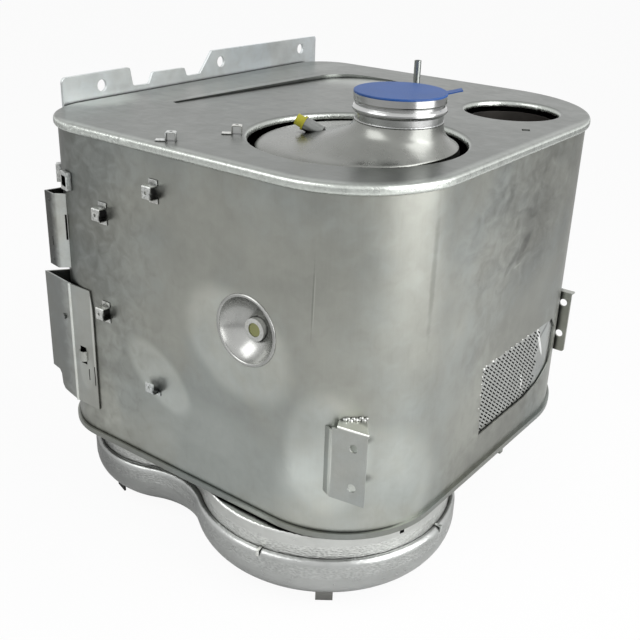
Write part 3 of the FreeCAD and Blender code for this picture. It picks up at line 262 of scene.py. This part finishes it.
def satin_steel(name, tone, cloud=0.14, roughness=0.36, grain=(0.4, 0.4, 0.02), corners=0.0, flecks=0.0,
                ovals=(), worn=None):
    """Satin sheet: patina clouds, rolling grain, flecks, ovals of wear, painted highlight or painted shade,
    a worn patch and painted shade in corners.
    """
    steel = Finish(bpy.data.materials.new(name))
    place = steel.place()
    clouds = steel.noise(place, 0.012, 4.0)
    blots = steel.noise(place, 0.05, 5.0, distortion=0.6)
    fine = steel.noise(place, 1.0, 2.0, stretch=grain)
    drifts = steel.noise(place, 0.0045, 3.0, distortion=0.5)
    warm = (tone[0] * 1.01, tone[1], tone[2] * 0.98, 1)
    cool = (tone[0] * 0.97, tone[1], tone[2] * 1.03, 1)
    hue = steel.node("ShaderNodeMix", {"data_type": "RGBA"}, {
        "Factor": steel.rise(drifts + (blots - 0.5) * 0.2, 0.36, 0.64), "A": warm, "B": cool}, "Result")
    bright = 1.0 + (clouds - 0.5) * (2.6 * cloud) + (blots - 0.5) * (1.4 * cloud) + (fine - 0.5) * 0.06
    wear_and_painted_light = 0.0
    # Each oval is rubbed wear, a scratch or scuff, a painted highlight or a painted shade.
    for middle, reach, turn, gain in ovals:
        ragged, outside, inside = (0.9, 1.35, 0.35) if gain < 0 else (0.25, 1.14, 0.80)
        away = steel.patch(place, middle, reach, turn) + (blots - 0.5) * ragged
        wear_and_painted_light = steel.rise(away, outside, inside, 0.0, gain) + wear_and_painted_light
    if ovals:
        bright = bright * (1.0 + wear_and_painted_light)
    if worn:
        rubs = steel.noise(place, 0.022, 5.0, stretch=(1, 1, 1.8), distortion=1.2)
        bright = bright + (rubs - 0.5) * steel.rise(steel.patch(place, *worn), 1.2, 0.4, 0.0, 0.7)
    if flecks:
        specks = steel.noise(place, 0.28, 2.0, distortion=1.0)
        bright = bright + (specks - 0.5) * (flecks * 4.0)
    if corners:
        # Painted shade in corners, kept off the right wall round the window.
        unshaded_wall = steel.rise(steel.axis(place, "X"), RIGHT_X - 18, RIGHT_X - 4)
        bright = bright * (1.0 - (1.0 - steel.painted_corner_shade(corners)) * (1.0 - unshaded_wall))
    rough = roughness + (blots - 0.5) * 0.12 + (fine - 0.5) * 0.06
    relief = clouds * 1.3 + blots * 0.07 + fine * 0.03
    return steel.surface(steel.tint(hue, bright), rough, relief, depth=0.0012, strength=0.5)


# Rubbed halos round the dish, the clips and the front bracket, a painted highlight round the front right
# corner's foot, and the bottom of the front wall made brighter.
rubbed_and_highlit_places = [
    oval((420, FRONT_Y, 252), (100, 60, 76), 0.36, turn=(0, 24, 0)),
    oval((262, FRONT_Y, 151), (74, 60, 40), 0.34, turn=(0, 33, 0)),
    oval((150, FRONT_Y, 170), (34, 40, 32), 0.16),
    oval((146, FRONT_Y, 62), (26, 40, 56), 0.12, turn=(0, -8, 0)),
    oval((562, 25, 125), (60, 60, 98), 0.34),
    # painted highlight round the foot of the front right corner
    oval((600, 60, 60), (120, 120, 110), 0.26),
    oval((270, FRONT_Y, 10), (420, 60, 130), 0.13)]
# Painted shade over the right wall, under and above its window, and at the left end of the front wall.
painted_shade_places = [
    oval((652, 390, 20), (60, 190, 60), -0.24),
    oval((-30, 40, 330), (230, 120, 460), -0.46),
    oval((655, 450, 280), (70, 190, 270), -0.22),
    oval((RIGHT_X, 425, 360), (30, 60, 74), -0.18)]
front_scratch = [
    oval((542.3, FRONT_Y, 355), (1.2, 60, 52), -0.22, turn=(0, 1, 0)),
    oval((544.0, FRONT_Y, 350), (0.7, 60, 40), 0.22, turn=(0, 1, 0))]
right_scuffs = [
    oval((RIGHT_X, 321, 436), (20, 24, 9), -0.24, turn=(50, 0, 0)),
    oval((RIGHT_X, 392, 352), (20, 30, 10), -0.22, turn=(40, 0, 0)),
    oval((RIGHT_X, 350, 330), (20, 24, 7), -0.24, turn=(35, 0, 0)),
    oval((RIGHT_X, 374, 322), (20, 12, 1.6), 0.22, turn=(8, 0, 0)),
    oval((RIGHT_X, 127, 375), (30, 5, 95), -0.22)]
bracket_hole_shades = [oval((606, 45, z), (9, 40, 8), -0.75) for z in (151, 89)]
clip_shades = [
    oval((x, FRONT_Y, z), (half_width, 12, half_height), -0.95)
    for x, z, half_width, half_height in (
        (159.5, 383, 11, 11), (268.5, 439, 11, 11), (153.5, 224, 11, 11), (257.5, 134, 13, 12))]
scuffed_wall = ((RIGHT_X, 350, 400), (30, 210, 130))
shell_steel = satin_steel(
    "casing_steel_finish", (0.345, 0.355, 0.328), cloud=0.17, corners=0.014,
    ovals=rubbed_and_highlit_places + painted_shade_places + front_scratch + right_scuffs + bracket_hole_shades + clip_shades,
    worn=scuffed_wall)
dress("casing_shell", shell_steel)


# Gas treatment inside. Dull heat-tinted ducts and cans, unglazed honeycomb blocks and pressed fibre
# mats; only the outlet pipe and the top of the filter can show, through the two lid openings.
def honeycomb():
    """Unglazed ceramic with its cells as a fine check."""
    clay = Finish(bpy.data.materials.new("honeycomb_finish"))
    place = clay.place()
    cells = clay.node("ShaderNodeTexChecker", None, {
        "Vector": place, "Scale": 0.4, "Color1": (0.30, 0.26, 0.20, 1), "Color2": (0.52, 0.46, 0.36, 1)})
    stain = clay.noise(place, 0.03, 3.0)
    return clay.surface(clay.tint(cells, 0.8 + stain * 0.4), 0.9, cells, depth=0.0006, metallic=0.0)


def fibre():
    """Pressed fibre with a fluffy face."""
    wool = Finish(bpy.data.materials.new("fibre_mat_finish"))
    fluff = wool.noise(wool.place(), 0.6, 5.0)
    tone = wool.tint((0.70, 0.67, 0.60), 0.8 + fluff * 0.4)
    return wool.surface(tone, 0.95, fluff, depth=0.001, metallic=0.0)


duct_steel = satin_steel("duct_steel_finish", (0.075, 0.07, 0.065), cloud=0.3, roughness=0.5, corners=0.05)
for node in ("filter_can", "mixing_tube", "mixer_vanes", "top_header", "reduction_can", "low_header",
             "slip_can", "outlet_cone"):
    dress(node, duct_steel)
block_clay = honeycomb()
for node in ("oxidation_block", "particulate_block", "reduction_blocks", "slip_block"):
    dress(node, block_clay)
mat_wool = fibre()
for node in ("oxidation_mat", "particulate_mat", "reduction_mats", "slip_mat"):
    dress(node, mat_wool)


# Floor tray, pan collar and transfer pan. The tray's edge is rolled, the collar is a plain skirt, and
# the pan is deep drawn, which puckered the sheet into fine dimples, most of them round its upright side.
def drawn_steel(name, tone, band_top, band_bottom, cloud):
    """Deep drawn sheet: clouds, smears along the draw and fine dimples, most in a band, with painted shade
    at its left end and in its corners.
    """
    steel = Finish(bpy.data.materials.new(name))
    place = steel.place()
    z = steel.axis(place, "Z")
    clouds = steel.noise(place, 0.014, 4.0)
    blots = steel.noise(place, 0.05, 5.0, stretch=(1, 1, 2.2), distortion=0.5)
    band = steel.rise(z, band_bottom - 8.0, band_bottom) * (1.0 - steel.rise(z, band_top, band_top + 5.0))
    slant = steel.node("ShaderNodeMapping", None, {
        "Vector": place, "Rotation": (radians(32), radians(24), 0), "Scale": (0.5, 0.5, 1.1)})
    dimples = steel.node("ShaderNodeTexVoronoi", {"feature": "SMOOTH_F1"}, {
        "Vector": slant, "Scale": 0.42, "Smoothness": 0.6}, "Distance")
    # Painted shade darkens the left end, under the casing.
    shaded_left_end = steel.patch(place, (30, 60, -70), (155, 210, 85))
    bright = 1.0 + (clouds - 0.5) * (2.4 * cloud) + (blots - 0.5) * 0.24 + (dimples - 0.4) * band * 0.5
    bright = bright * steel.rise(shaded_left_end, 0.5, 1.1, 0.6, 1.0)
    # Painted shade in corners.
    bright = bright * steel.painted_corner_shade(0.016)
    rough = 0.3 + (blots - 0.5) * 0.16
    relief = clouds * 1.4 + blots * 0.5 + dimples * (band * 0.9 + 0.12)
    return steel.surface(steel.tint(tone, bright), rough, relief, depth=0.0016, strength=0.6)


MERGE_DISTANCE = 0.00002
FLAT_ANGLE = 0.6
SHADE_ANGLE = 40.0


def softened(node, width, material, angle=28.0):
    """Put the node's own shape, with its edges past an angle rounded, in the node's place."""
    work = bmesh.new()
    work.from_mesh(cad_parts[node].data)
    bmesh.ops.remove_doubles(work, verts=work.verts, dist=MERGE_DISTANCE)
    bmesh.ops.dissolve_limit(work, angle_limit=radians(FLAT_ANGLE), verts=work.verts, edges=work.edges)
    sharp = [edge for edge in work.edges
             if len(edge.link_faces) == 2 and edge.calc_face_angle(0.0) > radians(angle)]
    bmesh.ops.bevel(work, geom=sharp, offset=width, offset_type="OFFSET", affect="EDGES",
                    segments=2, profile=0.5, material=-1, clamp_overlap=True)
    piece = piece_of(work, node + "_formed", material)
    piece.data.shade_smooth()
    piece.data.set_sharp_from_angle(angle=radians(SHADE_ANGLE))
    piece.modifiers.new("flat_faces_stay_flat", "WEIGHTED_NORMAL").keep_sharp = True
    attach(piece, "root")
    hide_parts(node)


pan_steel = drawn_steel("pan_finish", (0.43, 0.44, 0.43), band_top=-60.0, band_bottom=-74.0, cloud=0.14)
dress("transfer_pan", pan_steel)
collar_steel = drawn_steel("collar_finish", (0.58, 0.59, 0.57), band_top=-32.0, band_bottom=-48.0, cloud=0.1)
dress("pan_collar", collar_steel)
tray_steel = satin_steel("tray_finish", (0.26, 0.27, 0.25), cloud=0.12, roughness=0.3, corners=0.01)
dress("floor_tray", tray_steel)


# Lid. Pressed satin sheet, its pressed edges softly rounded, with a rolled rim that was crimped and
# brushed by hand, so the rim is rippled; the flat is cloudy. Painted highlights brighten the rim,
# a band along the edge, the front left corner and the sunken panel's slope.
LID_TOP = 508
EDGE_BAND_START = 146
EDGE_BAND_END = 157


def lid_sheet():
    """Lid sheet: painted highlights brighten its rim, a band along its edge and the sunken panel's slope;
    painted shade darkens its corners.
    """
    steel = Finish(bpy.data.materials.new("lid_finish"))
    place = steel.place()
    x, y, z = [steel.axis(place, letter) for letter in "XYZ"]
    clouds = steel.noise(place, 0.010, 4.0)
    blots = steel.noise(place, 0.045, 5.0, distortion=0.7)
    scuffs = steel.noise(place, 0.08, 6.0, stretch=(0.3, 1.6, 1.0))
    ripple = steel.noise(place, 0.10, 4.0, distortion=1.4)
    panel = steel.rise(x, 70, 85) * (1.0 - steel.rise(x, 250, 262)) * steel.rise(y, 190, 205)
    rim = (1.0 - steel.rise(z, LID_TOP - 3.0, LID_TOP - 0.2)) * (1.0 - panel)
    above_floor = steel.rise(z, LID_TOP - 6.8, LID_TOP - 5.6)
    below_flat = 1.0 - steel.rise(z, LID_TOP - 1.0, LID_TOP)
    slope = panel * above_floor * below_flat * steel.rise(y, 520, 600)
    from_corner = steel.node("ShaderNodeVectorMath", {"operation": "MULTIPLY_ADD"}, {
        0: place, 1: (1, -1, 0), 2: (-CORNER_X, CORNER_Y, 0)})
    outward = steel.node("ShaderNodeVectorMath", {"operation": "MAXIMUM"}, {0: from_corner, 1: (0, 0, 0)})
    past = steel.node("ShaderNodeVectorMath", {"operation": "LENGTH"}, {0: outward}, "Value")
    edge = steel.rise(past, EDGE_BAND_START, EDGE_BAND_END)
    hammered = rim * steel.rise(steel.patch(place, (70, 60, 500), (230, 200, 60)), 1.1, 0.5)
    bright = 1.0 + (clouds - 0.5) * 0.40 + (blots - 0.5) * 0.26 + (scuffs - 0.5) * 0.12
    # Painted highlights on the sunken panel's far slope, the rolled rim and the band along the edge.
    bright = bright + slope * 1.2 + rim * 1.7 + edge * (ripple + 0.3)
    bright = bright + (ripple - 0.5) * (rim * 0.9 + hammered * 1.6)
    # A painted highlight on the front left corner and along the sunken panel's left side, and a long strip
    # near the left end made brighter.
    for middle, reach, turn, gain in (
            oval((-19, 142, LID_TOP), (75, 75, 30), 1.1),
            oval((60, 480, LID_TOP), (36, 320, 30), 0.25),
            oval((97, 390, LID_TOP), (8, 200, 20), 0.45, turn=(0, 0, -3))):
        away = steel.patch(place, middle, reach, turn) + (blots - 0.5) * 0.3
        bright = bright * steel.rise(away, 1.2, 0.6, 1.0, 1.0 + gain)
    # Painted shade in corners.
    bright = bright * steel.painted_corner_shade(0.014)
    rough = 0.35 + (blots - 0.5) * 0.2 + (scuffs - 0.5) * 0.1 - rim * 0.08
    relief = clouds * 1.8 + blots * 0.3 + ripple * (rim * 0.7 + hammered * 2.2)
    tone = steel.tint((0.179, 0.188, 0.177), bright)
    return steel.surface(tone, rough, relief, depth=0.0014, strength=0.55)


softened("lid", width=0.0012, material=lid_sheet(), angle=40.0)


# Inlet cone and neck. The cone is spun sheet drawn off centre, the neck a turned ring with a clamp
# bead and a rolled lip, joined to the cone by a rippled weld; the neck is brighter than the casing.
NECK_X = 512
NECK_Y = 233
NECK_FOOT = 543.0


def spun_steel(name, tone, roughness, axis, corners=0.012):
    """Spun or turned sheet: faint rings round a point on its axis, under a cloud of handling marks, with
    painted shade in corners.
    """
    steel = Finish(bpy.data.materials.new(name))
    place = steel.place()
    away = steel.node("ShaderNodeVectorMath", {"operation": "DISTANCE"}, {0: place, 1: axis}, "Value")
    rings = steel.node("ShaderNodeTexNoise", {"noise_dimensions": "1D"}, {
        "W": away, "Scale": 0.22, "Detail": 2.0})
    clouds = steel.noise(place, 0.016, 3.0)
    blots = steel.noise(place, 0.05, 4.0)
    bright = 1.0 + (clouds - 0.5) * 0.44 + (blots - 0.5) * 0.16 + (rings - 0.5) * 0.08
    # Painted shade in corners.
    bright = bright * steel.painted_corner_shade(corners)
    rough = roughness + (blots - 0.5) * 0.10
    relief = rings * 0.12 + clouds
    return steel.surface(steel.tint(tone, bright), rough, relief, depth=0.0008, strength=0.4)


def bead(name, middle, radius, thickness, waves, swell, material):
    """A weld bead: a thin ring whose thickness ripples."""
    work = bmesh.new()
    bmesh.ops.create_circle(work, segments=10, radius=thickness, matrix=(
        Matrix.Translation(middle + Vector((radius, 0, 0))) @ Matrix.Rotation(pi / 2, 4, "X")))
    bmesh.ops.spin(work, geom=work.verts[:] + work.edges[:], cent=middle, axis=(0, 0, 1), angle=2 * pi,
                   steps=180, use_merge=True, use_duplicate=False)
    bmesh.ops.remove_doubles(work, verts=work.verts, dist=0.00001)
    for vert in work.verts:
        out = Vector((vert.co.x - middle.x, vert.co.y - middle.y, 0))
        core = middle + out.normalized() * radius
        ripple = 1.0 + swell * sin(waves * Vector((1, 0)).angle_signed(out.xy, 0.0))
        vert.co = core + (vert.co - core) * ripple
    bmesh.ops.recalc_face_normals(work, faces=work.faces)
    piece = piece_of(work, name, material)
    piece.data.shade_smooth()
    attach(piece, "root")


inlet_axis = (NECK_X, NECK_Y, LID_TOP)
cone_steel = spun_steel("cone_finish", (0.235, 0.24, 0.225), roughness=0.28, axis=inlet_axis)
dress("inlet_cone", cone_steel)
neck_steel = spun_steel("neck_finish", (0.50, 0.505, 0.50), roughness=0.2, axis=inlet_axis)
dress("inlet_neck", neck_steel)
weld_steel = satin_steel("weld_finish", (0.36, 0.36, 0.35), cloud=0.2, roughness=0.28)
bead("neck_weld", spot(NECK_X, NECK_Y, NECK_FOOT), radius=0.0610, thickness=0.0016, waves=60, swell=0.12,
     material=weld_steel)


# Cap, plugs and fittings. A thin blue cap lies on the neck and yellow plugs close the sensor bosses,
# all moulded in dull plastic; the turned bosses, a rivet and a thin upright pipe are plain steel.
def moulded(name, tone, roughness):
    """Moulded plastic: faint clouds and fine specks."""
    plastic = Finish(bpy.data.materials.new(name))
    place = plastic.place()
    clouds = plastic.noise(place, 0.03, 3.0)
    specks = plastic.noise(place, 0.5, 4.0)
    bright = 1.0 + (clouds - 0.5) * 0.30 + (specks - 0.5) * 0.10
    rough = roughness + (specks - 0.5) * 0.2
    relief = specks * 0.3 + clouds
    return plastic.surface(plastic.tint(tone, bright), rough, relief, depth=0.0006, strength=0.5,
                           metallic=0.0)


dress("inlet_cap", moulded("cap_finish", (0.004, 0.064, 0.262), roughness=0.5))
dress("inlet_sensor_plug", moulded("plug_finish", (0.50, 0.47, 0.03), roughness=0.42))
dress("side_sensor_plug", moulded("side_plug_finish", (0.30, 0.31, 0.12), roughness=0.42))
fitting_steel = satin_steel("fitting_finish", (0.24, 0.245, 0.235), cloud=0.3, roughness=0.32,
                            corners=0.01, flecks=0.1)
for node in ("inlet_sensor_boss", "bracket_rivet"):
    dress(node, fitting_steel)
dress("side_sensor_boss", satin_steel("side_boss_finish", (0.62, 0.625, 0.60), cloud=0.3, roughness=0.3,
                                      flecks=0.15))
dress("pressure_pipe", satin_steel("pipe_finish", (0.30, 0.32, 0.31), cloud=0.2, roughness=0.28))


# Mounting flange and brackets. Laser-cut plate, a little paler than the casing, with softly deburred
# edges and faint rolling marks; the brackets are folded, with painted shade where a fold turns
# inward and painted highlights along their folds and edges.
flange_steel = satin_steel("flange_finish", (0.63, 0.66, 0.665), cloud=0.16, roughness=0.4,
                           grain=(0.4, 0.03, 0.4), corners=0.008)
softened("mounting_flange", width=0.0007, material=flange_steel)

BRACKET_TONE = (0.41, 0.42, 0.395)
BRACKET_ROUGHNESS = 0.34

# Painted shade on the upper bracket's left face, and a painted highlight along its ridge.
upper_steel = satin_steel(
    "upper_bracket_finish", BRACKET_TONE, roughness=BRACKET_ROUGHNESS, corners=0.012, flecks=0.05, ovals=(
        oval((34, 2, 332), (17, 40, 400), -0.78),
        oval((60, 4, 332), (9, 12, 400), 0.35)))
# Painted shade on the lower bracket's left part, and painted highlights along its folds and edges.
lower_steel = satin_steel(
    "lower_bracket_finish", BRACKET_TONE, roughness=BRACKET_ROUGHNESS, corners=0.012, ovals=(
        oval((18, 8, 146), (48, 60, 600), -0.42),
        oval((70.6, -5, 146), (3.5, 6, 600), 0.9),
        oval((120, -3, 180), (2.5, 6, 75), 0.5),
        oval((98, -3, 110), (16, 8, 40), 0.12)))
# Painted highlights on the front bracket's upright strip and on its shelf's front edge.
stand_steel = satin_steel(
    "front_bracket_finish", BRACKET_TONE, roughness=BRACKET_ROUGHNESS, flecks=0.03, ovals=(
        oval((577, 20, 124), (5, 13, 90), 0.8),
        oval((606, 16, 184), (40, 22, 4), 0.9)))
rear_steel = satin_steel("rear_bracket_finish", BRACKET_TONE, roughness=BRACKET_ROUGHNESS, corners=0.016)
softened("upper_corner_bracket", width=0.0006, material=upper_steel)
softened("lower_corner_bracket", width=0.0009, material=lower_steel)
softened("front_bracket", width=0.0012, material=stand_steel)
softened("rear_bracket", width=0.0006, material=rear_steel)


# Weld lumps. A ragged row of spatter behind the front bracket's shelf, and tacks along the window's
# top and front edges, where the mesh was caught; all are small flattened drops of melted steel.
LUMP_SPREAD = 1.25
LUMP_FLATNESS = 0.8
SHELF_LUMPS = 9
SHELF_HEIGHT = 185.0
SHELF_START_ANGLE = 36.5
SHELF_STEP_ANGLE = 1.3
SHELF_LUMPS_OUT = 0.6
TACK_X = 649.2


def lumps(name, row, material):
    """Flat weld lumps in a row of (place, radius)."""
    work = bmesh.new()
    for middle, radius in row:
        bmesh.ops.create_icosphere(work, subdivisions=2, radius=radius, matrix=(
            Matrix.Translation(middle) @ Matrix.Diagonal((LUMP_SPREAD, LUMP_SPREAD, LUMP_FLATNESS, 1.0))))
    piece = piece_of(work, name, material)
    piece.data.shade_smooth()
    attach(piece, "root")


spatter_steel = satin_steel("spatter_finish", (0.48, 0.49, 0.48), roughness=0.3, flecks=0.4)
spatter = []
for step in range(SHELF_LUMPS):
    angle = radians(SHELF_START_ANGLE + SHELF_STEP_ANGLE * step)
    out = CORNER_RADIUS + SHELF_LUMPS_OUT
    lump = spot(CORNER_X + out * sin(angle), CORNER_Y - out * cos(angle),
                SHELF_HEIGHT + 1.6 * sin(step * 2.4))
    spatter.append((lump, 0.0030 + 0.0007 * sin(step * 3.7)))
lumps("shelf_weld", spatter, spatter_steel)
lumps("mesh_tacks", [(spot(TACK_X, y, z), radius) for y, z, radius in (
    (300, 176, 0.0030), (299, 163, 0.0020), (308, 178, 0.0022), (329, 178, 0.0028), (340, 177.5, 0.0022),
    (299, 150, 0.0018), (372, 178, 0.0016), (392, 178, 0.0016), (410, 178, 0.0015), (431, 178, 0.0018),
    (450, 178, 0.0020), (298.5, 132, 0.0016), (298.5, 108, 0.0014))], spatter_steel)


# Clips and feet. Small bright pressings on the front wall, the front left corner, the lid and the
# pan, each welded by its feet; painted shade darkens the openings of those on the front wall. The
# pan stands on four short plates, darkened in colour as painted shade, with a painted shadow of the pan on
# the left ones.
# Painted shade on the open side of each front clip.
open_side_shades = [oval((x, -8, z), (4, 14, 10), -0.97)
              for x, z in ((169, 382), (278, 438), (163, 222), (266, 132))]
clip_steel = satin_steel("clip_finish", (0.62, 0.63, 0.61), cloud=0.2, roughness=0.28, corners=0.02,
                         flecks=0.36, ovals=open_side_shades)
for node in ("front_clips", "corner_clips", "lid_clips", "pan_clips"):
    softened(node, width=0.0005, material=clip_steel)
# Painted shade: a dark tone for the feet, and a painted shadow over the left ones.
foot_steel = satin_steel("foot_finish", (0.24, 0.24, 0.23), roughness=0.4, ovals=[
    oval((60, 40, -130), (150, 150, 60), -0.85)])
softened("pan_feet", width=0.0005, material=foot_steel)


# Sensor dish. A cup pressed from thin sheet and let into the front wall, smoother and brighter than
# the wall; its rings run round its middle, where the side sensor's boss stands.
DISH_X = 437
DISH_Z = 280

dish_steel = spun_steel("dish_finish", (0.42, 0.425, 0.41), roughness=0.27,
                        axis=(DISH_X, FRONT_Y, DISH_Z), corners=0.003)
dress("sensor_dish", dish_steel)


# Mesh screen and its spacers. Slit and stretched sheet behind the casing's window, held off the wall
# by two bars, with a few bright strands and a duller field at its far end.
MESH_X = 648

mesh_steel = satin_steel("mesh_finish", (0.42, 0.435, 0.425), cloud=0.15, roughness=0.3, ovals=(
    oval((MESH_X, 510, 146), (9, 3.5, 38), 1.4, turn=(28, 0, 0)),
    oval((MESH_X, 455.5, 90), (9, 3, 16), 1.4, turn=(14, 0, 0)),
    oval((MESH_X, 520, 160), (9, 22, 4), -0.5, turn=(35, 0, 0)),
    oval((MESH_X, 505, 140), (9, 12, 3), -0.4, turn=(35, 0, 0)),
    oval((MESH_X, 470, 150), (9, 16, 3), -0.3, turn=(35, 0, 0)),
    oval((MESH_X, 515, 100), (9, 30, 24), -0.16)))
dress("mesh_screen", mesh_steel)
dress("mesh_spacers", mesh_steel)
